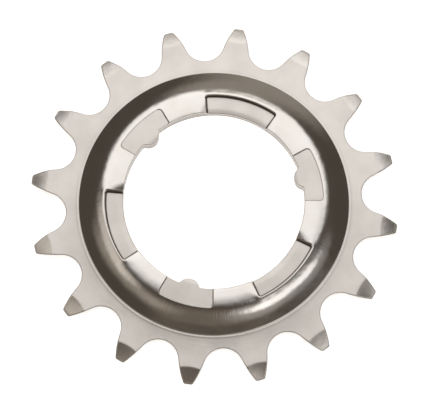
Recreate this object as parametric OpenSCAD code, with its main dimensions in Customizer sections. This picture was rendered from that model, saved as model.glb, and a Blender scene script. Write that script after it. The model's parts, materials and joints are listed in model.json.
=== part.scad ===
// Bicycle hub sprocket: one steel plate, pressed into a shallow dish, with
// chain teeth round its rim and a bore with three driving lugs. It lies on the
// back of its tooth ring, and the hub flange stands up on the dish.
// Every round is a circle, so the teeth, the bore and the dish are true arcs.

/* [Chain teeth] */
// Number of teeth
teeth = 16; // [16:1:24]
// Distance from one chain roller to the next
chain_pitch = 12.7; // [12.5:0.1:13]
// Diameter of the chain's rollers
roller_d = 7.75; // [7.6:0.05:8]
// Clearance between a roller and the seat that it drops into
roller_gap = 0.08; // [0.02:0.01:0.2]
// Radius of the bulging tooth flanks
flank_r = 16.7; // [13:0.1:18]
// Height of the tooth tips above the pitch circle
tip_rise = 3.15; // [2.6:0.05:3.3]
// Radius of the two corners of a tooth tip
tip_corner_r = 0.5; // [0.3:0.05:0.6]
// Thickness left at a tooth tip
tip_t = 0.9; // [0.6:0.1:1.6]
// Length of the bevels that thin a tooth, measured inwards from its tip
bevel_len = 3.3; // [2:0.1:4]
// Slope of a bevel's gentle inner half; its outer half is steeper, down to the tip
bevel_angle = 12.5; // [8:0.5:16]

/* [Plate and dish] */
// Thickness of the plate
plate_t = 2.9; // [2.2:0.1:3.2]
// Height of the hub flange above the tooth ring
dish_rise = 2.55; // [1.8:0.05:3]
// Diameter where the dish leaves the tooth ring
foot_d = 52.1; // [51:0.1:54]
// Slope of the dish wall
wall_angle = 32; // [28:1:36]
// Radius of the crown that rounds the wall into the flange
crown_r = 10.9; // [8:0.1:12]
// Radius of the fillet at the front of the foot
foot_fillet_r = 0.4; // [0.2:0.1:1]
// Radius of the bend at the back of the foot
back_bend_r = 1.5; // [0.5:0.1:2.5]

/* [Bore and lugs] */
// Diameter of the bore
bore_d = 34.9; // [34:0.1:36]
// Number of driving lugs, and of the pads of each kind
lugs = 3; // [3:1:4]
// How far a lug reaches into the bore
lug_reach = 1.4; // [1:0.1:1.8]
// Radius of a lug's round nose
lug_nose_r = 2.1; // [1.8:0.1:2.4]
// Radius of the fillets at a lug's root
lug_root_r = 0.6; // [0.3:0.05:0.8]

/* [Coined pads] */
// Length of the shallow pads behind the lugs, outwards from the bore
lug_pad_len = 3.65; // [3:0.05:4]
// Angle that a shallow pad spans
lug_pad_angle = 30; // [24:1:34]
// Depth of the shallow pads below the flange
lug_pad_depth = 0.35; // [0.2:0.05:0.8]
// Radius of the outer corners of a shallow pad
lug_pad_corner_r = 0.8; // [0.3:0.1:1.2]
// Length of the deep pads between the lugs, outwards from the bore
deep_pad_len = 3.45; // [3:0.05:4]
// Angle that a deep pad spans
deep_pad_angle = 39.5; // [30:0.5:42]
// Depth of the deep pads below the flange
deep_pad_depth = 1.1; // [0.6:0.1:1.6]
// Radius of the outer corners of a deep pad
deep_pad_corner_r = 0.35; // [0.2:0.05:0.8]

/* [Hidden] */
$fn = 96;

// Overlap of a cutting shape with the space beside the plate
past = 1;
// Overlap of two arcs, or an arc and a line, that run smoothly into each other,
// so that no sliver is left where they touch
lap = 0.001;

// Tooth form: the pitch circle, the roller's seat, and where the seat meets
// the flanks, as an angle to either side of the line to the sprocket's centre
pitch_r = chain_pitch/(2*sin(180/teeth));
seat_r = roller_d/2 + roller_gap/2;
seat_half_angle = (140 - 90/teeth)/2;
tip_r = pitch_r + tip_rise;
flank_c = [pitch_r, 0] + turned([-(seat_r + flank_r - lap), 0], -seat_half_angle);
tip_corner_c = meet(tip_r - tip_corner_r, flank_c, flank_r - tip_corner_r);

// Bevels: how deep they are at the tips and halfway, and how much deeper they
// would be a little way past the tips
bevel_drop = (plate_t - tip_t)/2;
bevel_mid_drop = bevel_len/2*tan(bevel_angle);
rim_past = 0.2;
rim_drop = bevel_drop + rim_past*(bevel_drop - bevel_mid_drop)/(bevel_len/2);

// Section: heights of the flange, and the crown's centre above the axis line
flange_back = dish_rise;
flange_top = dish_rise + plate_t;
bore_r = bore_d/2;
foot_r = foot_d/2;
wall_run = (dish_rise - crown_r*(1 - cos(wall_angle)))/tan(wall_angle);
crown_c = [foot_r - wall_run - crown_r*sin(wall_angle), flange_top - crown_r];
back_foot_r = foot_r - plate_t*tan(wall_angle/2);
fillet_c = [foot_r + foot_fillet_r*tan(wall_angle/2), plate_t + foot_fillet_r];
bend_c = [back_foot_r + back_bend_r*tan(wall_angle/2), back_bend_r];

// Lugs: the nose's centre and the centre of one root fillet
nose_c = [bore_r - lug_reach + lug_nose_r, 0];
root_c = meet(bore_r - lug_root_r + lap, nose_c, lug_nose_r + lug_root_r - lap);

// Point at distance r from the origin and distance s from c, on the side of
// c that a clockwise turn about the origin reaches
function meet(r, c, s) =
    let (turn = acos((r*r + c*c - s*s)/(2*r*norm(c))))
    r*turned(c/norm(c), -turn);

// Vector v turned by the angle a
function turned(v, a) = [v[0]*cos(a) - v[1]*sin(a), v[0]*sin(a) + v[1]*cos(a)];

// Vector v as long as d
function to_length(v, d) = v*d/norm(v);

// Point mirrored across the X axis
function flipped(v) = [v[0], -v[1]];

// Space that one roller needs: its round seat, and outside it the room
// between two bulging flanks
module tooth_gap() {
    mouth = pitch_r - seat_r*cos(seat_half_angle);
    translate([pitch_r, 0]) circle(r = seat_r);
    difference() {
        translate([mouth, -flank_c[1]]) square([tip_r + past - mouth, 2*flank_c[1]]);
        translate(flank_c) circle(r = flank_r);
        translate(flipped(flank_c)) circle(r = flank_r);
    }
}

// What rounding takes off one corner of a tooth tip, beside the gap on the X axis
module tip_corner_waste() {
    reach = 1.5*tip_corner_r;
    to_flank = to_length(tip_corner_c - flank_c, reach);
    to_tip = to_length(tip_corner_c, reach);
    difference() {
        polygon([tip_corner_c, tip_corner_c + to_flank,
                 tip_corner_c + to_flank + to_tip, tip_corner_c + to_tip]);
        translate(tip_corner_c) circle(r = tip_corner_r + lap);
    }
}

// Toothed outline of the plate, with one tooth on the X axis
module tooth_plan() {
    difference() {
        circle(r = tip_r);
        for (i = [0:teeth - 1]) rotate((i + 0.5)*360/teeth) {
            tooth_gap();
            tip_corner_waste();
            mirror([0, 1]) tip_corner_waste();
        }
    }
}

// One driving lug on the X axis: a round nose with a fillet on either side
module lug_plan() {
    anchor = to_length(root_c, bore_r + past);
    translate(nose_c) circle(r = lug_nose_r);
    difference() {
        polygon([root_c, nose_c, flipped(root_c), flipped(anchor), anchor]);
        translate(root_c) circle(r = lug_root_r);
        translate(flipped(root_c)) circle(r = lug_root_r);
    }
}

// Outline of the bore between its lugs
module bore_plan() {
    difference() {
        circle(r = bore_r);
        for (i = [0:lugs - 1]) rotate(i*360/lugs) lug_plan();
    }
}

// Half section of the plate: X is the distance from the axis, Y the height
module plate_section() {
    inner_r = bore_r - lug_reach - past;
    half_turn = tan(wall_angle/2);
    difference() {
        union() {
            polygon([[inner_r, 0], [inner_r, flange_top],
                     [crown_c[0] + crown_r*half_turn, flange_top], [foot_r, plate_t],
                     [tip_r - bevel_len, plate_t],
                     [tip_r - bevel_len/2, plate_t - bevel_mid_drop],
                     [tip_r + rim_past, plate_t - rim_drop],
                     [tip_r + rim_past, rim_drop],
                     [tip_r - bevel_len/2, bevel_mid_drop],
                     [tip_r - bevel_len, 0]]);
            foot_fillet();
        }
        outside_crown(crown_r);
        outside_bend();
        difference() {
            polygon([[inner_r - past, flange_back],
                     [crown_c[0] + (crown_r - plate_t)*half_turn, flange_back],
                     [back_foot_r, 0], [back_foot_r, -past], [inner_r - past, -past]]);
            outside_crown(crown_r - plate_t);
        }
    }
}

// Metal that fills the foot's front corner, and reaches down into the plate
module foot_fillet() {
    difference() {
        polygon([fillet_c - [0, foot_fillet_r], [foot_r, 0],
                 fillet_c - turned([0, foot_fillet_r], -wall_angle)]);
        translate(fillet_c) circle(r = foot_fillet_r + lap);
    }
}

// What lies outside the bend's arc at the foot's back corner
module outside_bend() {
    far = 2*back_bend_r;
    translate(bend_c) difference() {
        polygon([[0, 0], [0, -far], turned([0, -far], -wall_angle)]);
        circle(r = back_bend_r + lap);
    }
}

// What lies outside the crown's arc of radius r, over the turn of the wall
module outside_crown(r) {
    far = 2*crown_r;
    translate(crown_c) difference() {
        polygon([[0, 0], [0, far], [far*tan(wall_angle), far]]);
        circle(r = r + lap);
    }
}

// Outline of a coined pad on the X axis, with round outer corners
module pad_plan(len, angle, corner_r) {
    outer_r = bore_r + len;
    far = outer_r/cos(angle/2) + past;
    corner_c = turned([outer_r - corner_r, 0],
                      angle/2 - asin(corner_r/(outer_r - corner_r)));
    difference() {
        intersection() {
            circle(r = outer_r);
            polygon([[0, 0], turned([far, 0], -angle/2), turned([far, 0], angle/2)]);
        }
        for (side = [0, 1]) mirror([0, side]) difference() {
            polygon([corner_c, corner_c + turned([0, 2*corner_r], angle/2),
                     turned([far, 0], angle/2), 1.2*corner_c]);
            translate(corner_c) circle(r = corner_r + lap);
        }
    }
}

// Press strike that sinks one pad below the flange
module pad_strike(len, angle, corner_r, depth) {
    translate([0, 0, flange_top - depth])
        linear_extrude(depth + past) pad_plan(len, angle, corner_r);
}

// The whole sprocket: the section turned about the axis, trimmed to the
// toothed outline and the bore, then struck with both sets of pads
module sprocket() {
    color([0.80, 0.78, 0.75]) difference() {
        intersection() {
            rotate_extrude() plate_section();
            translate([0, 0, -past]) linear_extrude(flange_top + 2*past)
                difference() {
                    tooth_plan();
                    bore_plan();
                }
        }
        for (i = [0:lugs - 1]) {
            rotate(i*360/lugs)
                pad_strike(lug_pad_len, lug_pad_angle, lug_pad_corner_r, lug_pad_depth);
            rotate((i + 0.5)*360/lugs)
                pad_strike(deep_pad_len, deep_pad_angle, deep_pad_corner_r, deep_pad_depth);
        }
    }
}

sprocket();
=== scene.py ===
"""Bicycle hub sprocket: one bright nickel plated steel plate, dished, toothed and coined.

The plate is one closed surface. Its lines run all the way round the section, out over the
front to a point of the toothed outline and back along the underside to the bore, so the
whole sprocket is a grid of rings and lines, worked out as whole arrays."""

import json
import math

import bpy
import numpy as np
from mathutils import Matrix, Vector


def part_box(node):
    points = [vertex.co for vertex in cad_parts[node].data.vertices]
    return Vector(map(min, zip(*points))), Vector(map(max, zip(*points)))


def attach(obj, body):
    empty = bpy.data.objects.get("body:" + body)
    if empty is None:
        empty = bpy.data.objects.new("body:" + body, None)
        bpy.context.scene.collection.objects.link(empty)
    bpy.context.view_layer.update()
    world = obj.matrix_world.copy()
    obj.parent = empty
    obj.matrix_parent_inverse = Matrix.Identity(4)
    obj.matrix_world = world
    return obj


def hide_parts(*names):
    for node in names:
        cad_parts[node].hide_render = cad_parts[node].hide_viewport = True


MM = 0.001
NODE = "sprocket"
BODY = "root"

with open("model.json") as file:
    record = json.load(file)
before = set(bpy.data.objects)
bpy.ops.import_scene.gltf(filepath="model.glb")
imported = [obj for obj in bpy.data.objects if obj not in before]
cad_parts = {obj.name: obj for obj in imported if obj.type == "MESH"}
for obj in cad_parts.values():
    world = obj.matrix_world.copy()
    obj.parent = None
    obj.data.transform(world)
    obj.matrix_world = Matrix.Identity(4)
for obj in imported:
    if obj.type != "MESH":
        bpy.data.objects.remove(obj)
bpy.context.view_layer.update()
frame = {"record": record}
lowest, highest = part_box(NODE)
mounts = {mount["name"]: mount for mount in frame["record"]["mounts"]}
bore_facts = mounts["lugged_bore"]["dims"]
chain_facts = mounts["chain_teeth"]["dims"]

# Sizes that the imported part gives
TEETH = chain_facts["count"]
PITCH_R = chain_facts["r_mm"] * MM
TIP_R = highest.x
LUGS = bore_facts["count"]
BORE_R = bore_facts["r_mm"] * MM
PLATE = bore_facts["length_mm"] * MM
FLANGE_TOP = highest.z
DISH_RISE = FLANGE_TOP - PLATE

# Chain teeth, as in the part: a roller and its clearance, the round seat that they need, half
# of the angle that a seat spans (by the rule for roller chain 140 degrees, less 90 degrees
# shared by the teeth), the bulging flanks, and the corners of the tips
ROLLER_D, ROLLER_GAP = 7.75 * MM, 0.08 * MM
SEAT_R = (ROLLER_D + ROLLER_GAP) / 2
SEAT_HALF = math.radians((140 - 90 / TEETH) / 2)
FLANK_R = 16.7 * MM
TIP_CORNER_R = 0.5 * MM

# Bevels: how far inwards from the tips they start, how their start bows inwards over a tooth,
# and their slope, which steepens a little up to their whole depth at the tip
BEVEL_LEN = 3.3 * MM
BEVEL_START_R = TIP_R - BEVEL_LEN
BEVEL_BOW = 0.08 / MM
BEVEL_SLOPE = math.tan(math.radians(13))
BEVEL_DROP = 0.90 * MM
BEVEL_BEND = (BEVEL_DROP - BEVEL_SLOPE * BEVEL_LEN) / BEVEL_LEN ** 2

# Dish: foot, wall and crown
FOOT_R = 26.05 * MM
WALL = math.radians(32)
CROWN_R = 10.9 * MM

# Bore lugs, and how their noses slope down towards the axis
LUG_REACH = 1.4 * MM
NOSE_R = 2.1 * MM
ROOT_R = 0.6 * MM
NOSE_SLOPE = math.tan(math.radians(4))

# Coined pads, shallow ones behind the lugs and deep ones between them: angle of the first,
# outer radius, half of the angle that they span, depth, corner radius, the width of the edge
# over which the metal rolls down to the pad's floor, the width over which that edge is
# darkened with painted shade, how dark that painted shade gets, and the width and slope of
# the floor's roll down at the bore
LUG_PAD = dict(first=0.0, outer=BORE_R + 3.65 * MM, half=math.radians(15), depth=0.22 * MM,
               corner=0.8 * MM, edge=0.19 * MM, crevice=0.35 * MM, dark=0.05,
               roll_width=0.0, roll_slope=0.0)
DEEP_PAD = dict(first=math.pi / LUGS, outer=BORE_R + 3.45 * MM, half=math.radians(19.75),
                depth=1.1 * MM, corner=0.45 * MM, edge=0.30 * MM, crevice=0.5 * MM, dark=0.88,
                roll_width=0.95 * MM, roll_slope=math.tan(math.radians(11.5)))
# How much of an edge and of its dark line of painted shade lies outside the pad's outline,
# and how steeply that painted shade comes in from both its sides
EDGE_OUTSIDE, CREVICE_OUTSIDE = 0.6, 0.35
CREVICE_RISE = 6
# The pads' floors tilt a little down away from the bore
PAD_TILT = math.tan(math.radians(1.9))
# The flange's own roll down at the bore, and the half width over which each roll begins
FLANGE_ROLL = math.tan(math.radians(7))
FLANGE_ROLL_WIDTH = 0.65 * MM
ROLL_SOFT = 0.15 * MM
# Metal drawn down beside the deep pads: its slope, the angle it is wide at the bore, the
# radius at which it ends, and the half width over which its slope begins
DRAW_SLOPE = math.tan(math.radians(13.5))
DRAW_WIDTH = math.radians(6.3)
DRAW_END_R = 20.5 * MM
DRAW_SOFT = 0.8 * MM
# The lip of metal that the strike pushed up outside the deep pads' arcs: how far out it is,
# its half width on its inner side and on its outer side, its height, and the radii between
# which it comes in
LIP_OUT = 0.38 * MM
LIP_INNER_HALF, LIP_OUTER_HALF = 0.17 * MM, 0.45 * MM
LIP_HIGH = 0.025 * MM
LIP_START_R, LIP_FULL_R = 19.6 * MM, 20.4 * MM

# Small rounds of the edges; punching leaves the back's tooth edges sharper
TOOTH_EDGE = 0.18 * MM
TOOTH_BACK_EDGE = 0.08 * MM
BORE_EDGE = 0.17 * MM
# Half widths over which one slope turns into the next
FOOT_SOFT = 0.15 * MM
BACK_FOOT_SOFT = 0.45 * MM
BEVEL_SOFT = 0.12 * MM
NOSE_SOFT = 0.3 * MM
PAD_FLOOR_SOFT = 0.07 * MM

# The ring slopes down a little from the foot. The slope fades out round a radius, over a
# half width to either side of it
RING_SLOPE = math.tan(math.radians(6.8))
RING_FLAT_R = 28.3 * MM
RING_SOFT = 2.2 * MM
# Turning has left a low bead on the ring beside the foot: its radius, half width and height
BEAD_R = 26.45 * MM
BEAD_HALF = 0.16 * MM
BEAD_HIGH = 0.028 * MM

# The grid: lines per tooth, as steps over half a seat, a flank, a tip corner and half a tip
SEAT_STEPS, FLANK_STEPS, CORNER_STEPS, TIP_STEPS = 8.5, 6, 6, 2
LINES_PER_TOOTH = round(2 * (SEAT_STEPS + FLANK_STEPS + CORNER_STEPS + TIP_STEPS))
LINES = TEETH * LINES_PER_TOOTH
# Circle on which the hub's rows begin, the circle up to which the lines are the hub's, and
# the circle that the tooth lines start from
HUB_START_R = 18.05 * MM
HUB_GRID_R = 21.5 * MM
TOOTH_BASE_R = 27.8 * MM
# Angles of evenly spread lines from the nearest lug, and the angles that they have in the hub,
# where they crowd at the sides of the lugs and the pads
EVEN_ANGLES = np.radians([0, 4.5, 12, 16.5, 23, 42, 49.5, 60])
HUB_ANGLES = np.radians([0, 4.0, 8.6, 14, 16, 39.1, 41.4, 60])
# Rows over the round of an edge, and from the bore's front edge to the hub's first circle
EDGE_ROWS, NOSE_ROWS = 5, 8
# Circular rows, in stretches of even steps, each with its first radius, last radius and
# count. On the front: flange with the pads, the pads' outer edges with the lip, crown, wall,
# foot, bead, ring. On the back: ring, bend, wall, crown, flange
FRONT_CIRCLES = ((HUB_START_R, 20.45 * MM, 9), (20.55 * MM, 21.65 * MM, 23),
                 (21.8 * MM, 24.62 * MM, 11), (24.9 * MM, 25.8 * MM, 4),
                 (25.88 * MM, 26.22 * MM, 7), (26.29 * MM, 26.61 * MM, 5),
                 (26.75 * MM, 27.1 * MM, 2))
BACK_CIRCLES = ((26.6 * MM, 26.6 * MM, 1), (25.8 * MM, 24.7 * MM, 6), (24.2 * MM, 23.1 * MM, 3),
                (22.5 * MM, 18.9 * MM, 8), (HUB_START_R, HUB_START_R, 1))
# Rows along the tooth lines: 0 is on the base circle, 1 is on the bevel's crease, and 2
# would be where the round of the front's edge starts
FRONT_STATIONS = (0, 0.35, 0.65, 0.85, 0.94, 0.974, 1, 1.04, 1.1, 1.25, 1.45, 1.65, 1.85)
BACK_STATIONS = (1.7, 1.35, 1.12, 1, 0.9, 0.65, 0)
# Rows down the teeth's sides and up the bore's wall, as shares of the way
SIDE_SHARES, BORE_SHARES = (0.05, 0.33, 0.67), (0.05, 0.5, 0.93)
# How often the crossing of a tooth line with the crease is refined, the largest share of the
# line that may lie before it, and that share on the shortest line
CREASE_ROUNDS = 3
CREASE_LIMIT = 0.995
SHORTEST_SHARE = 0.5

# Colours of the plating where it is bright, satin and punched, each with the tint of its
# soft patches; the dark colour of the grime and of the painted shade; the patches' size, and
# the values of their noise between which the tint comes in; how much grime is on the pads,
# and how much painted shade darkens the bore's wall
BRIGHT_CLEAN, BRIGHT_TINTED = (0.86, 0.83, 0.79, 1), (0.82, 0.78, 0.73, 1)
SATIN_CLEAN, SATIN_TINTED = (0.88, 0.83, 0.78, 1), (0.80, 0.75, 0.705, 1)
# The punched colours are lighter than the rest of the plating so that the sides show white: painted
# light
PUNCHED_CLEAN, PUNCHED_TINTED = (0.93, 0.91, 0.88, 1), (0.88, 0.86, 0.82, 1)
DIRT_AND_SHADE = (0.14, 0.11, 0.085, 1)
PATCH, PUNCHED_PATCH = 5 * MM, 2 * MM
PATCH_START, PATCH_FULL = 0.35, 0.65
PAD_GRIME, BORE_PAINTED_SHADE = 0.03, 0.80
# How much less satin the bevels are
BEVEL_GLOSS = 0.65
# Finish: roughness, and the tools' marks and the metal's waves with their depth. The press
# leaves marks down the dish, turning leaves them round the ring, and the punch down the sides
BRIGHT_ROUGHNESS, SATIN_ROUGHNESS, PUNCHED_ROUGHNESS = 0.12, 0.38, 0.3
DRAWN_MARKS = dict(Across=250, Along=130, Wave_Size=2.0 * MM, Wave_Height=2.5)
TURNED_MARKS = dict(Across=2200, Along=5, Wave_Size=4 * MM, Wave_Height=3.0)
PUNCHED_MARKS = dict(Across=300, Along=60, Wave_Size=2 * MM, Wave_Height=0.5)
DRAWN_DEPTH, TURNED_DEPTH, PUNCHED_DEPTH = 0.010 * MM, 0.009 * MM, 0.03 * MM
# How fine the noises are that make patches, marks and waves
PATCH_DETAIL, MARK_DETAIL, WAVE_DETAIL = 3.0, 3.0, 1.0

# The floor: half its side, its gap to the sprocket, its paper, and its white to the camera
# and in reflections, beside the light that falls on it
FLOOR_HALF = 3.0
FLOOR_GAP = 0.02 * MM
PAPER = (0.85, 0.85, 0.85, 1)
FLOOR_LIFT = 0.85

# The picture. The sprocket's X axis lies this far clockwise from the picture's right
VIEW_TURN = math.radians(14.587)
# The camera: how far round it stands from straight above, to the picture's bottom and to its
# right, its distance, how far it is shifted to the right and up, and its focal length and
# the width of its sensor in millimetres
CAMERA_TILT = math.radians(13.602)
CAMERA_LEAN = math.radians(0.293)
CAMERA_FAR = 543.38 * MM
CAMERA_SHIFT_RIGHT = 0.306 * MM
CAMERA_SHIFT_UP = -0.600 * MM
CAMERA_LENS = 234.45
CAMERA_SENSOR = 36

# The studio: how far the lamps' middles are, and the colour and glow of the room
LAMPS_FAR = 0.4
ROOM_COLOUR = (1.0, 0.85, 0.70)
ROOM_GLOW = 0.07


def ramp(t, soft):
    """Nothing before -soft, t after soft, and between them the parabola (t + soft)² / 4 soft."""
    soft_part = (t + soft) ** 2 / (4 * soft)
    return np.where(t < -soft, 0.0, np.where(t > soft, t, soft_part))


def smooth(t):
    """Smooth step from 0 to 1 as t goes from 0 to 1: t² (3 - 2t)."""
    t = np.clip(t, 0, 1)
    return t * t * (3 - 2 * t)


def ring_of(radius, angle):
    """Points at a radius r and an angle a, as two columns x and y: r cos a and r sin a."""
    return np.stack([radius * np.cos(angle), radius * np.sin(angle)], -1)


def turned(points, angle):
    """Points or directions turned about the axis by an angle a: x cos a - y sin a and
    x sin a + y cos a."""
    x, y = points[..., 0], points[..., 1]
    return np.stack([x * np.cos(angle) - y * np.sin(angle),
                     x * np.sin(angle) + y * np.cos(angle)], -1)


def mirrored(points, angle):
    """Points or directions mirrored across the line through the axis at an angle a:
    x cos 2a + y sin 2a and x sin 2a - y cos 2a."""
    x, y = points[..., 0], points[..., 1]
    return np.stack([x * np.cos(2 * angle) + y * np.sin(2 * angle),
                     x * np.sin(2 * angle) - y * np.cos(2 * angle)], -1)


def crown_drop(r, arc_r):
    """Drop of the dish from the flange: a circle's arc of radius arc_r from the flange to the
    wall, R - sqrt(R² - run²), and then the wall's straight slope."""
    start = FOOT_R - (DISH_RISE - CROWN_R * (1 - math.cos(WALL))) / math.tan(WALL) \
        - CROWN_R * math.sin(WALL)
    arc_run = arc_r * math.sin(WALL)
    run = np.clip(r - start, 0, arc_run)
    return arc_r - np.sqrt(arc_r ** 2 - run ** 2) \
        + math.tan(WALL) * np.maximum(r - start - arc_run, 0)


def polar(points):
    """Distance from the axis and angle of plan points."""
    return np.hypot(points[..., 0], points[..., 1]), np.arctan2(points[..., 1], points[..., 0])


def from_nearest(angle, count, offset=0.0):
    """Angle from the nearest of count things that are evenly spaced, the first at offset."""
    pitch = 2 * math.pi / count
    return (angle - offset + pitch / 2) % pitch - pitch / 2


def crease_radius(r, angle):
    """Radius at which the bevel of the nearest tooth starts: least over the tooth's middle,
    and more by the bow times the square of the distance to the side."""
    to_side = r * np.sin(from_nearest(angle, TEETH))
    return BEVEL_START_R + BEVEL_BOW * to_side ** 2


def bevel_drop(points):
    """Drop of a bevel, on either face: slope times run, and bend times the run's square."""
    r, angle = polar(points)
    run = ramp(r - crease_radius(r, angle), BEVEL_SOFT)
    return BEVEL_SLOPE * run + BEVEL_BEND * run ** 2


def front_section(points):
    """Height of the front at plan points, before coining: the flange's front less the dish's
    drop, which stops at the foot, less the ring's slope and the tooth bevel, with the bell
    curve of the bead."""
    r = polar(points)[0]
    bead = BEAD_HIGH * np.exp(-((r - BEAD_R) / BEAD_HALF) ** 2)
    past_foot = ramp(r - FOOT_R, FOOT_SOFT)
    ring_drop = RING_SLOPE * (past_foot - ramp(r - RING_FLAT_R, RING_SOFT))
    return FLANGE_TOP - crown_drop(r, CROWN_R) + math.tan(WALL) * past_foot \
        - ring_drop + bead - bevel_drop(points)


def back_section(points):
    """Height of the back at plan points: the flange's back less the dish's drop at the plate's
    thickness below the front, which stops at the back's own foot, with the tooth bevel."""
    r = polar(points)[0]
    foot = FOOT_R - PLATE * math.tan(WALL / 2)
    return DISH_RISE - crown_drop(r, CROWN_R - PLATE) \
        + math.tan(WALL) * ramp(r - foot, BACK_FOOT_SOFT) + bevel_drop(points)


def inside_pad(r, turn, pad):
    """Distance inside a pad's outline, negative outside. The outline is a sector with round
    outer corners of radius c. The distance is the smaller one of those to its side and to
    its arc, and where either is under c, c - hypot of what they lack of c."""
    to_side = r * np.sin(np.clip(pad["half"] - np.abs(turn), -math.pi / 2, math.pi / 2))
    side, top = pad["corner"] - to_side, pad["corner"] - (pad["outer"] - r)
    return pad["corner"] - np.hypot(np.maximum(side, 0), np.maximum(top, 0)) \
        - np.minimum(np.maximum(side, top), 0)


def pad_share(points, pad, edge="edge", outside=EDGE_OUTSIDE):
    """1 on a pad's floor and 0 outside it, with a smooth step over a width of the pad's that
    edge names. A share of the step, outside, lies outside the pad's outline."""
    r, angle = polar(points)
    turn = from_nearest(angle, LUGS, pad["first"])
    return smooth(inside_pad(r, turn, pad) / pad[edge] + outside)


def flange_roll(r, from_deep):
    """Drop of the flange at the bore: the larger one of the flange's own roll and of the slope
    of the metal drawn down beside the deep pads, in a wedge that narrows outwards."""
    drawn_width = DRAW_WIDTH * (DRAW_END_R - r) / (DRAW_END_R - BORE_R)
    drawn = np.minimum(r * (DEEP_PAD["half"] + drawn_width - np.abs(from_deep)), DRAW_END_R - r)
    return np.maximum(DRAW_SLOPE * ramp(drawn, DRAW_SOFT),
                      FLANGE_ROLL * ramp(BORE_R + FLANGE_ROLL_WIDTH - r, ROLL_SOFT))


def lip_rise(r, from_deep):
    """Height of the lip outside the deep pads' arcs: a bell curve of the distance to the lip's
    line, steeper on its inner side, that comes in between two radii."""
    inside = inside_pad(r, from_deep, DEEP_PAD) + LIP_OUT
    bell = np.exp(-(inside / np.where(inside > 0, LIP_INNER_HALF, LIP_OUTER_HALF)) ** 2)
    return LIP_HIGH * bell * smooth((r - LIP_START_R) / (LIP_FULL_R - LIP_START_R))


def front_height(points):
    """Height of the finished front at plan points: the section, less the slope of the lugs'
    noses and the roll at the bore, with the lip, and struck with both sets of pads. Over a
    pad's edge the drop goes from what is there to the pad's floor, which tilts and has its
    own roll at the bore. Where the metal lies lower than the floor would, it stays."""
    r, angle = polar(points)
    from_deep = from_nearest(angle, LUGS, DEEP_PAD["first"])
    drop = FLANGE_TOP - front_section(points) + NOSE_SLOPE * ramp(BORE_R - r, NOSE_SOFT) \
        + flange_roll(r, from_deep) - lip_rise(r, from_deep)
    for pad in (LUG_PAD, DEEP_PAD):
        pad_floor = pad["depth"] + PAD_TILT * (r - BORE_R) \
            + pad["roll_slope"] * ramp(BORE_R + pad["roll_width"] - r, ROLL_SOFT)
        pad_floor = pad_floor + ramp(drop - pad_floor, PAD_FLOOR_SOFT)
        drop = drop + (pad_floor - drop) * pad_share(points, pad)
    return FLANGE_TOP - drop


def grime_and_shade_share(points):
    """Painted shade and grime on the front: a dark line of painted shade along the pads' edges,
    thick in the middle of a deep pad's edge and thin at the shallow pads' edges, and a trace
    of grime on the pads. Across an edge it is the pad's darkness times the smaller one of 1
    and rise s (1 - s), where s is the pad's share."""
    total = 0.0
    for pad in (LUG_PAD, DEEP_PAD):
        share = pad_share(points, pad, "crevice", CREVICE_OUTSIDE)
        line = np.minimum(CREVICE_RISE * share * (1 - share), 1)
        total = total + pad["dark"] * line + PAD_GRIME * share
    return np.clip(total, 0, 1)


def satin_share(points):
    """1 where the front is satin, on the tooth ring and the coined pads, less on the bevels,
    and 0 where the press left it bright, on the dish."""
    r, angle = polar(points)
    ring = smooth((r - FOOT_R + FOOT_SOFT) / (2 * FOOT_SOFT))
    bevel = smooth((r - crease_radius(r, angle)) / (2 * BEVEL_SOFT))
    pads = np.maximum(pad_share(points, LUG_PAD), pad_share(points, DEEP_PAD))
    return np.maximum(ring * (1 - BEVEL_GLOSS * bevel), pads)


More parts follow.
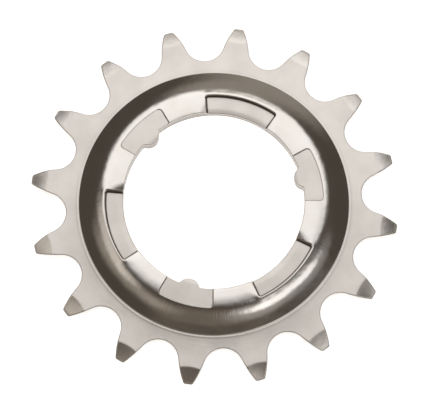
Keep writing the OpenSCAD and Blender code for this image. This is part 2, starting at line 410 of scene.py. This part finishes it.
def tooth_outline():
    """Points and outward directions of the toothed outline, one per line. From a gap's middle
    to a tooth's middle they follow the seat's arc, the flank's arc, the tip corner's arc and
    the tip circle, each at even angles; the other half of the tooth is the mirror image."""
    half_pitch = math.pi / TEETH
    seat_c = np.array([PITCH_R, 0.0])
    flank_c = seat_c + (SEAT_R + FLANK_R) * np.array([-math.cos(SEAT_HALF), math.sin(SEAT_HALF)])
    flank_far, corner_far = np.hypot(*flank_c), TIP_R - TIP_CORNER_R
    reach = FLANK_R - TIP_CORNER_R
    corner_angle = math.atan2(flank_c[1], flank_c[0]) - math.acos(
        (corner_far ** 2 + flank_far ** 2 - reach ** 2) / (2 * corner_far * flank_far))
    corner_c = ring_of(corner_far, corner_angle)
    corner_start = math.atan2(corner_c[1] - flank_c[1], corner_c[0] - flank_c[0])

    step = np.arange(LINES_PER_TOOTH, dtype=float)
    far_half = step > LINES_PER_TOOTH / 2
    step = np.where(far_half, LINES_PER_TOOTH - step, step)
    on_seat = step <= SEAT_STEPS
    on_flank = ~on_seat & (step <= SEAT_STEPS + FLANK_STEPS)
    on_corner = ~on_seat & ~on_flank & (step <= SEAT_STEPS + FLANK_STEPS + CORNER_STEPS)
    on_tip = ~on_seat & ~on_flank & ~on_corner

    knots = np.cumsum([0, SEAT_STEPS, FLANK_STEPS, CORNER_STEPS, TIP_STEPS])
    seat_turn = np.interp(step, knots[:2], [math.pi, math.pi - SEAT_HALF])
    flank_turn = np.interp(step, knots[1:3], [-SEAT_HALF, corner_start])
    corner_turn = np.interp(step, knots[2:4], [corner_start, corner_angle])
    tip_turn = np.interp(step, knots[3:], [corner_angle, half_pitch])
    stretches = [on[:, None] for on in (on_seat, on_flank, on_corner, on_tip)]
    points = np.select(stretches, [
        seat_c + ring_of(SEAT_R, seat_turn), flank_c + ring_of(FLANK_R, flank_turn),
        corner_c + ring_of(TIP_CORNER_R, corner_turn), ring_of(TIP_R, tip_turn)])
    outward = np.select(stretches, [
        -ring_of(1.0, seat_turn), ring_of(1.0, flank_turn),
        ring_of(1.0, corner_turn), ring_of(1.0, tip_turn)])
    points = np.where(far_half[:, None], mirrored(points, half_pitch), points)
    outward = np.where(far_half[:, None], mirrored(outward, half_pitch), outward)
    gap_turn = (np.arange(TEETH)[:, None] + 0.5) * 2 * half_pitch
    return (turned(points[None], gap_turn).reshape(-1, 2),
            turned(outward[None], gap_turn).reshape(-1, 2))


def bore_outline(angle):
    """Points and outward directions of the bore's edge at those angles: the bore circle, with
    each lug's root fillet and round nose where the ray from the axis meets their circles."""
    nose_far = BORE_R - LUG_REACH + NOSE_R
    root_far = BORE_R - ROOT_R
    apart = NOSE_R + ROOT_R
    root_turn = math.acos((nose_far ** 2 + root_far ** 2 - apart ** 2) / (2 * nose_far * root_far))
    nose_c, root_c = np.array([nose_far, 0.0]), ring_of(root_far, root_turn)
    meeting = nose_c + (root_c - nose_c) * NOSE_R / apart
    meeting_turn = math.atan2(meeting[1], meeting[0])

    from_lug = from_nearest(angle, LUGS)
    turn = np.abs(from_lug)
    on_nose, on_root = turn < meeting_turn, turn < root_turn
    near = nose_far * np.cos(turn) - np.sqrt(np.maximum(NOSE_R ** 2 - (nose_far * np.sin(turn)) ** 2, 0))
    off = turn - root_turn
    far = root_far * np.cos(off) + np.sqrt(np.maximum(ROOT_R ** 2 - (root_far * np.sin(off)) ** 2, 0))
    r = np.where(on_nose, near, np.where(on_root, far, BORE_R))
    points = ring_of(r, turn)
    outward = np.where(on_nose[:, None], (points - nose_c) / NOSE_R,
                       np.where(on_root[:, None], (root_c - points) / ROOT_R, -ring_of(1.0, turn)))
    flip = (from_lug < 0)[:, None]
    points, outward = [np.where(flip, mirrored(v, 0.0), v) for v in (points, outward)]
    return turned(points, angle - from_lug), turned(outward, angle - from_lug)


def hub_angles(even):
    """Angles of the lines in the hub for evenly spread angles. The lines crowd at the lugs'
    sides and the pads' sides, so that small edges there are round."""
    from_lug = from_nearest(even, LUGS)
    in_hub = np.interp(np.abs(from_lug), EVEN_ANGLES, HUB_ANGLES)
    return even - from_lug + np.sign(from_lug) * in_hub


def crease_shares(base, along):
    """Share of each tooth line, from the base circle to the round of the front's edge, at
    which it crosses the bevel's crease. The crease's radius and the crossing of the line with
    that circle, from |base + share along| = radius, are worked out in turn. A line that ends
    before the crease gets a share that grows evenly with the radius at its end."""
    end_r = polar(base + along)[0]
    a, b = (along ** 2).sum(1), (base * along).sum(1)
    radius = np.full(LINES, BEVEL_START_R)
    for _ in range(CREASE_ROUNDS):
        root = np.sqrt(np.maximum(b * b - a * (TOOTH_BASE_R ** 2 - radius ** 2), 0))
        crossing = np.clip((root - b) / a, 0, 1)
        radius = crease_radius(*polar(base + along * crossing[:, None]))
    even_share = SHORTEST_SHARE + (1 - SHORTEST_SHARE) * (end_r - end_r.min()) \
        / (BEVEL_START_R - end_r.min())
    return np.minimum(np.where(end_r > radius, crossing, even_share), CREASE_LIMIT)


def circle_radii(stretches):
    """Radii of the circular rows: even steps over each stretch, from its first to its last."""
    return np.concatenate([np.linspace(*stretch) for stretch in stretches])


def sprocket_rows():
    """Rows of points round the section, each one a closed ring of LINES points, in order from
    the bore's front edge over the front, the teeth's side and the back, and up the bore.
    Returns the rows and the names of the surfaces that they start."""
    even = math.pi / TEETH + np.arange(LINES) * 2 * math.pi / LINES
    hub = hub_angles(even)
    outline, outward = tooth_outline()
    outline_turn = np.arctan2(outline[:, 1], outline[:, 0])
    # On the base circle a line is halfway between its even angle and its end on the outline
    base_turn = even + ((outline_turn - even + math.pi) % (2 * math.pi) - math.pi) / 2
    bore, bore_out = bore_outline(hub)
    rows, faces = [], []

    def add(name, plan, height):
        """Adds a row, with the name of the surface between it and the next row."""
        rows.append(np.column_stack([plan, height]))
        faces.append(name)

    def circle(r):
        """Plan of a circular row. From the hub's grid to the base circle, its lines move from
        the hub's angles to those of the tooth lines by a smooth step."""
        share = smooth((r - HUB_GRID_R) / (TOOTH_BASE_R - HUB_GRID_R))
        return ring_of(r, hub + (base_turn - hub) * share)

    base = ring_of(TOOTH_BASE_R, base_turn)
    front_end = outline - outward * TOOTH_EDGE
    along = front_end - base
    crease = crease_shares(base, along)

    def tooth_row(station):
        """Plan of a row between the base circle, station 0, and the round of the front's edge,
        station 2, with station 1 on the bevel's crease."""
        share = crease * station if station <= 1 else crease + (1 - crease) * (station - 1)
        return base + along * np.reshape(share, (-1, 1))

    def edge_row(edge, out, round_r, turn):
        """Plan of a row on an edge's round, radius (1 - sin turn) inside the edge, and how far
        it lies past the face, radius (1 - cos turn)."""
        return edge - out * round_r * (1 - math.sin(turn)), round_r * (1 - math.cos(turn))

    quarter = np.radians(np.linspace(0, 90, EDGE_ROWS))
    bore_end = bore - bore_out * BORE_EDGE
    bore_front = front_height(bore_end)

    # Each stretch of rows ends before the first row of the next one
    for turn in quarter[::-1][:-1]:
        plan, past = edge_row(bore, bore_out, BORE_EDGE, turn)
        add("edge", plan, bore_front - past)
    hub_start = ring_of(HUB_START_R, hub)
    for share in np.linspace(0, 1, NOSE_ROWS, endpoint=False):
        plan = bore_end + (hub_start - bore_end) * share
        add("front", plan, front_height(plan))
    for r in circle_radii(FRONT_CIRCLES):
        plan = circle(r)
        add("front", plan, front_height(plan))
    for station in FRONT_STATIONS:
        plan = tooth_row(station)
        add("front", plan, front_height(plan))
    for turn in quarter:
        plan, past = edge_row(outline, outward, TOOTH_EDGE, turn)
        add("edge", plan, front_section(plan) - past)

    top = front_section(outline) - TOOTH_EDGE
    bottom = back_section(outline) + TOOTH_BACK_EDGE
    for share in SIDE_SHARES:
        add("side", outline, top + (bottom - top) * share)
    for turn in quarter[::-2]:
        plan, past = edge_row(outline, outward, TOOTH_BACK_EDGE, turn)
        add("edge", plan, back_section(plan) + past)
    for station in BACK_STATIONS:
        plan = tooth_row(station)
        add("back", plan, back_section(plan))
    for r in circle_radii(BACK_CIRCLES):
        plan = circle(r)
        add("back", plan, back_section(plan))
    for turn in quarter:
        plan, past = edge_row(bore, bore_out, BORE_EDGE, turn)
        add("edge", plan, np.full(LINES, DISH_RISE) + past)
    top = bore_front - BORE_EDGE
    bottom = DISH_RISE + BORE_EDGE
    for share in BORE_SHARES:
        add("bore wall", bore, bottom + (top - bottom) * share)
    return np.array(rows), faces


def ring_mesh(name, rows):
    """Mesh of a grid closed both ways. A corner's normal is the sum of the four faces' area
    vectors round it, the cross products of their diagonals, so flats stay flat up to a round."""
    count, lines = rows.shape[:2]
    row, line = np.meshgrid(np.arange(count), np.arange(lines), indexing="ij")
    next_row, next_line = (row + 1) % count, (line + 1) % lines
    quads = np.stack([row * lines + line, next_row * lines + line,
                      next_row * lines + next_line, row * lines + next_line], -1).reshape(-1, 4)
    one, two = np.roll(rows, -1, 0), np.roll(rows, -1, 1)
    both = np.roll(one, -1, 1)
    area = np.cross(both - rows, two - one)
    normals = area + np.roll(area, 1, 0) + np.roll(area, 1, 1) + np.roll(np.roll(area, 1, 0), 1, 1)
    normals /= np.linalg.norm(normals, axis=-1, keepdims=True)

    mesh = bpy.data.meshes.new(name)
    mesh.vertices.add(count * lines)
    mesh.vertices.foreach_set("co", rows.ravel())
    mesh.loops.add(quads.size)
    mesh.loops.foreach_set("vertex_index", quads.ravel())
    mesh.polygons.add(len(quads))
    mesh.polygons.foreach_set("loop_start", np.arange(0, quads.size, 4))
    mesh.update(calc_edges=True)
    mesh.polygons.foreach_set("use_smooth", np.ones(len(quads), bool))
    mesh.normals_split_custom_set_from_vertices(normals.reshape(-1, 3))
    return mesh


def feed(tree, socket, value):
    """Sets a socket to a value, or links it where the value is another node's socket."""
    if isinstance(value, bpy.types.NodeSocket):
        tree.links.new(value, socket)
    else:
        socket.default_value = value


def fed(tree, node, inputs):
    """The node, with its inputs fed by their names, in which _ stands for a blank."""
    for title, value in inputs.items():
        feed(tree, node.inputs[title.replace("_", " ")], value)
    return node


def add_node(tree, kind, **inputs):
    """A new node of that kind with some of its inputs fed."""
    return fed(tree, tree.nodes.new(kind), inputs)


def group_node(tree, group, **inputs):
    """A new node of that shader group with its inputs fed."""
    node = tree.nodes.new("ShaderNodeGroup")
    node.node_tree = group
    return fed(tree, node, inputs)


def attribute(tree, name):
    """Output of a node that reads an attribute of the mesh."""
    node = tree.nodes.new("ShaderNodeAttribute")
    node.attribute_name = name
    return node.outputs["Fac"]


def shader_group(name, inputs, outputs):
    """An empty node group with those named inputs and outputs, and its two end nodes."""
    group = bpy.data.node_groups.new(name, "ShaderNodeTree")
    for title, kind in inputs.items():
        group.interface.new_socket(title, in_out="INPUT", socket_type=kind)
    for title, kind in outputs.items():
        group.interface.new_socket(title, in_out="OUTPUT", socket_type=kind)
    return group, group.nodes.new("NodeGroupInput"), group.nodes.new("NodeGroupOutput")


def math_node(tree, operation, one, two=0.0):
    """Output of a math node on two sockets or numbers."""
    node = tree.nodes.new("ShaderNodeMath")
    node.operation = operation
    feed(tree, node.inputs[0], one)
    feed(tree, node.inputs[1], two)
    return node.outputs[0]


def mixed(tree, share, one, two, data_type="RGBA", ending="Color"):
    """Output of a node that mixes two colours by a share, or two of another type of data,
    whose sockets have another ending."""
    node = tree.nodes.new("ShaderNodeMix")
    node.data_type = data_type
    sockets = {socket.identifier: socket for socket in (*node.inputs, *node.outputs)}
    feed(tree, sockets["Factor_Float"], share)
    feed(tree, sockets["A_" + ending], one)
    feed(tree, sockets["B_" + ending], two)
    return sockets["Result_" + ending]


def plating_tint_group():
    """Shader group of the plating's colour: clean nickel that turns to a second tint in soft
    patches, and towards a dark colour where the mesh's attribute asks for it: painted shade
    along the pads' edges and on the bore's wall, and a trace of grime on the pads."""
    group, given, result = shader_group(
        "plating_tint", {"Clean": "NodeSocketColor", "Tinted": "NodeSocketColor",
                         "Dirt": "NodeSocketColor", "Patch Size": "NodeSocketFloat"},
        {"Color": "NodeSocketColor"})
    place = group.nodes.new("ShaderNodeTexCoord")
    patches = add_node(group, "ShaderNodeTexNoise", Vector=place.outputs["Object"],
                       Scale=math_node(group, "DIVIDE", 1.0, given.outputs["Patch Size"]),
                       Detail=PATCH_DETAIL)
    share = add_node(group, "ShaderNodeMapRange", Value=patches.outputs["Fac"],
                     From_Min=PATCH_START, From_Max=PATCH_FULL)
    colour = mixed(group, share.outputs[0], given.outputs["Clean"], given.outputs["Tinted"])
    darkened = mixed(group, attribute(group, "grime_and_shade"), colour, given.outputs["Dirt"])
    group.links.new(darkened, result.inputs["Color"])
    return group


def tool_marks_group():
    """Shader group of the fine marks that tools leave in the metal, and its slight waves.
    The marks are noise at the place (x, y) / r times Along and r + z times Across, so they
    number about Along to a radian round the axis and Across to a metre across it. The waves
    are plain noise of their size, times their height."""
    group, given, result = shader_group(
        "tool_marks", {"Across": "NodeSocketFloat", "Along": "NodeSocketFloat",
                       "Wave Size": "NodeSocketFloat", "Wave Height": "NodeSocketFloat"},
        {"Height": "NodeSocketFloat"})
    place = group.nodes.new("ShaderNodeTexCoord").outputs["Object"]
    split = add_node(group, "ShaderNodeSeparateXYZ", Vector=place)
    x, y, z = split.outputs
    r = math_node(group, "SQRT", math_node(group, "ADD", math_node(group, "MULTIPLY", x, x),
                                           math_node(group, "MULTIPLY", y, y)))
    across = math_node(group, "MULTIPLY", math_node(group, "ADD", r, z), given.outputs["Across"])
    along = [math_node(group, "MULTIPLY", math_node(group, "DIVIDE", way, r),
                       given.outputs["Along"]) for way in (x, y)]
    polar_place = add_node(group, "ShaderNodeCombineXYZ", X=along[0], Y=along[1], Z=across)
    marks = add_node(group, "ShaderNodeTexNoise", Vector=polar_place.outputs[0], Scale=1.0,
                     Detail=MARK_DETAIL)
    waves = add_node(group, "ShaderNodeTexNoise", Vector=place, Detail=WAVE_DETAIL,
                     Scale=math_node(group, "DIVIDE", 1.0, given.outputs["Wave Size"]))
    waved = math_node(group, "MULTIPLY", waves.outputs["Fac"], given.outputs["Wave Height"])
    group.links.new(math_node(group, "ADD", marks.outputs["Fac"], waved), result.inputs["Height"])
    return group


def plated(name):
    """A new metallic material, its node tree and its shader."""
    material = bpy.data.materials.new(name)
    material.use_nodes = True
    shader = material.node_tree.nodes["Principled BSDF"]
    shader.inputs["Metallic"].default_value = 1
    return material, material.node_tree, shader


def pressed_nickel(tints, marks):
    """Front and back: bright where the press drew the dish's front, satin on the turned tooth
    ring, on the coined pads and on the back."""
    material, tree, shader = plated("pressed_nickel")
    satin = attribute(tree, "satin")
    # Both tints darken where the mesh's attribute asks: painted shade along the pads' edges, and a trace
    # of grime on the pads
    bright = group_node(tree, tints, Clean=BRIGHT_CLEAN, Tinted=BRIGHT_TINTED, Dirt=DIRT_AND_SHADE,
                        Patch_Size=PATCH)
    turned_tint = group_node(tree, tints, Clean=SATIN_CLEAN, Tinted=SATIN_TINTED, Dirt=DIRT_AND_SHADE,
                             Patch_Size=PATCH)
    tree.links.new(mixed(tree, satin, bright.outputs[0], turned_tint.outputs[0]),
                   shader.inputs["Base Color"])
    roughness = add_node(tree, "ShaderNodeMapRange", Value=satin, To_Min=BRIGHT_ROUGHNESS,
                         To_Max=SATIN_ROUGHNESS)
    tree.links.new(roughness.outputs[0], shader.inputs["Roughness"])
    drawn = group_node(tree, marks, **DRAWN_MARKS)
    drawn_bump = add_node(tree, "ShaderNodeBump", Height=drawn.outputs[0],
                          Distance=DRAWN_DEPTH)
    turned_marks = group_node(tree, marks, **TURNED_MARKS)
    turned_bump = add_node(tree, "ShaderNodeBump", Height=turned_marks.outputs[0],
                           Distance=TURNED_DEPTH)
    normal = mixed(tree, satin, drawn_bump.outputs[0], turned_bump.outputs[0],
                   data_type="VECTOR", ending="Vector")
    tree.links.new(normal, shader.inputs["Normal"])
    return material


def punched_nickel(tints, marks):
    """Sides of the teeth and the bore, as the punch left them, in a colour lighter than the rest
    of the plating so that the sides show white, which is painted light. Its tint darkens the
    bore's wall with painted shade.
    """
    material, tree, shader = plated("punched_nickel")
    tint = group_node(tree, tints, Clean=PUNCHED_CLEAN, Tinted=PUNCHED_TINTED, Dirt=DIRT_AND_SHADE,
                      Patch_Size=PUNCHED_PATCH)
    tree.links.new(tint.outputs[0], shader.inputs["Base Color"])
    shader.inputs["Roughness"].default_value = PUNCHED_ROUGHNESS
    punch = group_node(tree, marks, **PUNCHED_MARKS)
    bump = add_node(tree, "ShaderNodeBump", Height=punch.outputs[0], Distance=PUNCHED_DEPTH)
    tree.links.new(bump.outputs[0], shader.inputs["Normal"])
    return material


def sprocket():
    """The whole plate, as one piece, with its faces pressed and turned and its sides punched."""
    rows, faces = sprocket_rows()
    mesh = ring_mesh("sprocket_plate", rows)
    piece = bpy.data.objects.new("sprocket_plate", mesh)
    bpy.context.scene.collection.objects.link(piece)

    # Satin, grime and painted shade vary over the front. The back is satin, and the bore's wall is
    # darkened with painted shade
    on_front = np.array([face == "front" for face in faces])[:, None]
    in_bore = np.array([face == "bore wall" for face in faces])[:, None]
    satin = np.where(on_front, satin_share(rows), 1.0)
    grime_and_shade = grime_and_shade_share(rows) * on_front + BORE_PAINTED_SHADE * in_bore
    for name, values in (("satin", satin), ("grime_and_shade", grime_and_shade)):
        layer = mesh.attributes.new(name, "FLOAT", "POINT")
        layer.data.foreach_set("value", values.ravel())

    tints, marks = plating_tint_group(), tool_marks_group()
    mesh.materials.append(pressed_nickel(tints, marks))
    mesh.materials.append(punched_nickel(tints, marks))
    punched = np.repeat([face in ("side", "bore wall") for face in faces], LINES)
    mesh.polygons.foreach_set("material_index", punched.astype(np.int32))
    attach(piece, BODY)
    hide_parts(NODE)


def seen_from_camera(across, up):
    """Direction in the sprocket's frame that lies across and up, in degrees from straight
    above, as the picture shows them."""
    away = math.radians(math.hypot(across, up))
    round_axis = math.atan2(up, across) - VIEW_TURN
    return Vector((math.sin(away) * math.cos(round_axis),
                   math.sin(away) * math.sin(round_axis), math.cos(away)))


def soft_face_group():
    """Shader group of a lamp's face: a rectangle with round corners whose glow comes in by a
    smooth step from its rim inwards, times another from its bottom up. Its inputs are angles
    in degrees. The distance inside the rim is worked out as inside a pad's outline."""
    titles = ("Width", "Height", "Corner", "Rim", "Bottom")
    group, given, result = shader_group(
        "soft_face", {title: "NodeSocketFloat" for title in titles}, {"Glow": "NodeSocketColor"})
    width, height, corner, rim, bottom = [given.outputs[title] for title in titles]
    place = group.nodes.new("ShaderNodeNewGeometry")
    u, v, _ = add_node(group, "ShaderNodeSeparateXYZ", Vector=place.outputs["Parametric"]).outputs

    def missing(share, whole):
        """What the distance to the nearer one of two sides lacks of the corner's radius, at a
        share of the way between them: radius - (0.5 - |share - 0.5|) times the whole."""
        to_middle = math_node(group, "ABSOLUTE", math_node(group, "SUBTRACT", share, 0.5))
        to_rim = math_node(group, "MULTIPLY", math_node(group, "SUBTRACT", 0.5, to_middle), whole)
        return math_node(group, "SUBTRACT", corner, to_rim)

    one, two = missing(u, width), missing(v, height)
    past_one, past_two = [math_node(group, "MAXIMUM", side, 0.0) for side in (one, two)]
    past = math_node(group, "SQRT", math_node(
        group, "ADD", math_node(group, "MULTIPLY", past_one, past_one),
        math_node(group, "MULTIPLY", past_two, past_two)))
    inner = math_node(group, "MINIMUM", math_node(group, "MAXIMUM", one, two), 0.0)
    inside = math_node(group, "SUBTRACT", math_node(group, "SUBTRACT", corner, past), inner)
    fades = []
    for way, far in ((inside, rim), (math_node(group, "MULTIPLY", v, height), bottom)):
        fade = add_node(group, "ShaderNodeMapRange", Value=way, From_Max=far)
        fade.interpolation_type = "SMOOTHSTEP"
        fades.append(fade.outputs[0])
    group.links.new(math_node(group, "MULTIPLY", *fades), result.inputs["Glow"])
    return group


def soft_panel(name, face, place, size, glow, corner, rim, bottom=1.0, roll=0.0,
               colour=(1, 1, 1)):
    """A studio lamp whose face has the radiance glow and that colour. Its place across and up
    from straight above, its size, the radius of its corners, the widths of the fades at its
    rim and at its bottom, and its roll are all in degrees, as seen from the sprocket."""
    data = bpy.data.lights.new(name, "AREA")
    data.shape = "RECTANGLE"
    data.size, data.size_y = [2 * LAMPS_FAR * math.tan(math.radians(side / 2)) for side in size]
    data.energy = glow * math.pi * data.size * data.size_y
    data.color = colour
    data.use_nodes = True
    tree = data.node_tree
    window = group_node(tree, face, Width=size[0], Height=size[1], Corner=corner, Rim=rim,
                        Bottom=bottom)
    tree.links.new(window.outputs["Glow"], tree.nodes["Emission"].inputs["Color"])
    lamp = bpy.data.objects.new(name, data)
    bpy.context.scene.collection.objects.link(lamp)
    direction = seen_from_camera(*place)
    picture_up = Vector((math.sin(VIEW_TURN), math.cos(VIEW_TURN), 0))
    side = picture_up.cross(direction).normalized()
    axes = Matrix((side, direction.cross(side), direction)).transposed().to_4x4()
    lamp.matrix_world = Matrix.Translation(direction * LAMPS_FAR) @ axes \
        @ Matrix.Rotation(math.radians(roll), 4, "Z")
    lamp.visible_camera = False


def camera():
    """The picture's camera: far over the sprocket, a little towards the picture's bottom."""
    data = bpy.data.cameras.new("camera")
    data.lens = CAMERA_LENS
    data.sensor_width = CAMERA_SENSOR
    tilt, lean = CAMERA_TILT, CAMERA_LEAN
    right = Vector((math.cos(lean), math.sin(lean) * math.sin(tilt), -math.sin(lean) * math.cos(tilt)))
    up = Vector((0, math.cos(tilt), math.sin(tilt)))
    back = right.cross(up)
    place = CAMERA_SHIFT_RIGHT * right + CAMERA_SHIFT_UP * up + CAMERA_FAR * back
    turn = Matrix.Rotation(-VIEW_TURN, 4, "Z")
    viewer = bpy.data.objects.new("camera", data)
    bpy.context.scene.collection.objects.link(viewer)
    axes = Matrix((right, up, back)).transposed().to_4x4()
    viewer.matrix_world = Matrix.Translation((0, 0, PLATE / 2)) @ turn \
        @ Matrix.Translation(place) @ axes
    bpy.context.scene.camera = viewer


def floor():
    """Plain pale floor under the sprocket. To the camera it is lifted to white, and the
    sprocket's shadow stays on it."""
    corners = [(x * FLOOR_HALF, y * FLOOR_HALF, lowest.z - FLOOR_GAP)
               for x, y in ((-1, -1), (1, -1), (1, 1), (-1, 1))]
    mesh = bpy.data.meshes.new("floor")
    mesh.from_pydata(corners, [], [(0, 1, 2, 3)])
    piece = bpy.data.objects.new("floor", mesh)
    bpy.context.scene.collection.objects.link(piece)
    material = bpy.data.materials.new("floor_paper")
    material.use_nodes = True
    tree = material.node_tree
    tree.nodes.remove(tree.nodes["Principled BSDF"])
    paper = add_node(tree, "ShaderNodeBsdfDiffuse", Color=PAPER)
    light_path = tree.nodes.new("ShaderNodeLightPath").outputs
    seen = math_node(tree, "MAXIMUM", light_path["Is Camera Ray"], light_path["Is Glossy Ray"])
    seen = math_node(tree, "MAXIMUM", seen, light_path["Is Transmission Ray"])
    glow = add_node(tree, "ShaderNodeEmission",
                    Strength=math_node(tree, "MULTIPLY", seen, FLOOR_LIFT))
    total = tree.nodes.new("ShaderNodeAddShader")
    tree.links.new(paper.outputs[0], total.inputs[0])
    tree.links.new(glow.outputs[0], total.inputs[1])
    tree.links.new(total.outputs[0], tree.nodes["Material Output"].inputs["Surface"])
    mesh.materials.append(material)


def studio():
    """Soft lamps round the camera and a dim warm room."""
    face = soft_face_group()
    soft_panel("main_softbox", face, place=(0.7, 22.2), size=(73, 64), glow=1.0, corner=28,
               rim=8, bottom=32)
    soft_panel("softbox_skirt", face, place=(3, 1), size=(54, 34), glow=0.36, corner=17, rim=14)
    soft_panel("low_right_panel", face, place=(28.3, -22.2), size=(38, 16), glow=0.86,
               corner=8, rim=4.5, roll=41)
    soft_panel("low_right_halo", face, place=(31, -25), size=(64, 40), glow=0.19,
               corner=20, rim=14, roll=40)
    soft_panel("inner_right_panel", face, place=(19.6, -6), size=(24, 7), glow=0.55,
               corner=3.5, rim=2.5, roll=45)
    soft_panel("low_middle_panel", face, place=(13.6, -27.8), size=(20, 16), glow=0.14,
               corner=8, rim=6)
    soft_panel("left_reflector", face, place=(-34.5, -1), size=(38, 21), glow=0.47,
               corner=10, rim=8, roll=-80, colour=(1.0, 0.93, 0.86))
    soft_panel("left_halo", face, place=(-36.5, -17), size=(58, 32), glow=0.185,
               corner=16, rim=14, roll=-50, colour=(1.0, 0.90, 0.80))
    soft_panel("top_card", face, place=(23, 71.7), size=(91, 56), glow=0.195,
               corner=28, rim=22, colour=(1.0, 0.93, 0.83))
    soft_panel("low_card", face, place=(0, -38), size=(70, 44), glow=0.08,
               corner=16, rim=14, colour=ROOM_COLOUR)
    world = bpy.data.worlds.new("dim_room")
    world.use_nodes = True
    room = world.node_tree.nodes["Background"]
    room.inputs["Color"].default_value = (*ROOM_COLOUR, 1)
    room.inputs["Strength"].default_value = ROOM_GLOW
    bpy.context.scene.world = world


sprocket()
floor()
studio()
camera()
bpy.context.scene.view_settings.view_transform = "Standard"
